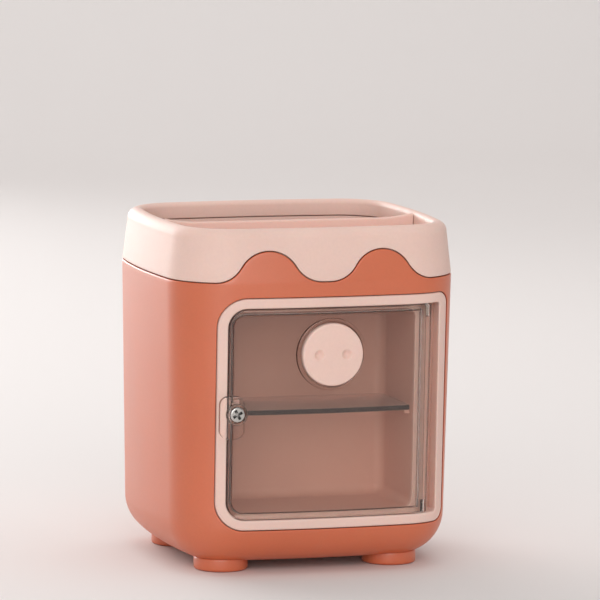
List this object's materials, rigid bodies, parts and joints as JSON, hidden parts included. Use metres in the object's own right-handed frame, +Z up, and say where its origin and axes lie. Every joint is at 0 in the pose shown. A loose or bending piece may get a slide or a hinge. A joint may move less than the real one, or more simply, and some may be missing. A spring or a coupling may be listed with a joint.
{
  "type": "desk organizer with hinged-door cabinet",
  "caption": "Rounded desk organizer with a deep pen well, a front tray and a small cabinet behind a clear hinged door.",
  "frame": {"origin": "bottom centre of the bounding box, on the desk under the organizer", "axes": "+Z up, the door faces -Y, its hinge is on the +X side"},
  "size_m": [0.12, 0.114, 0.1365],
  "materials": {
    "terracotta_plastic": "moulded, fine satin grain",
    "cream_plastic": "moulded, soft satin",
    "clear_plastic": "clear, polished",
    "smoked_plastic": "lightly smoked clear, polished",
    "bright_steel": "zinc plated",
    "nickel_plate": "nickel plated"
  },
  "bodies": {
    "organizer": {"body_shell": "terracotta_plastic", "top_collar": "cream_plastic", "pen_insert": "cream_plastic", "bezel_frame": "cream_plastic", "cabinet_box": "cream_plastic", "shelf": "smoked_plastic", "latch_magnet": "nickel_plate", "hinge_pin_upper": "bright_steel", "hinge_pin_lower": "bright_steel", "assembly_screws": "bright_steel"},
    "door": {"door_panel": "clear_plastic", "snout_button": "cream_plastic", "latch_screw": "bright_steel"}
  },
  "joints": [
    {"name": "door_hinge", "type": "hinge", "parent": "organizer", "child": "door", "pos_m": [0.0422, -0.04598, 0.0226], "axis": [0.0083, -0.0178, 0.9998], "range_deg": [0, 110]}
  ]
}
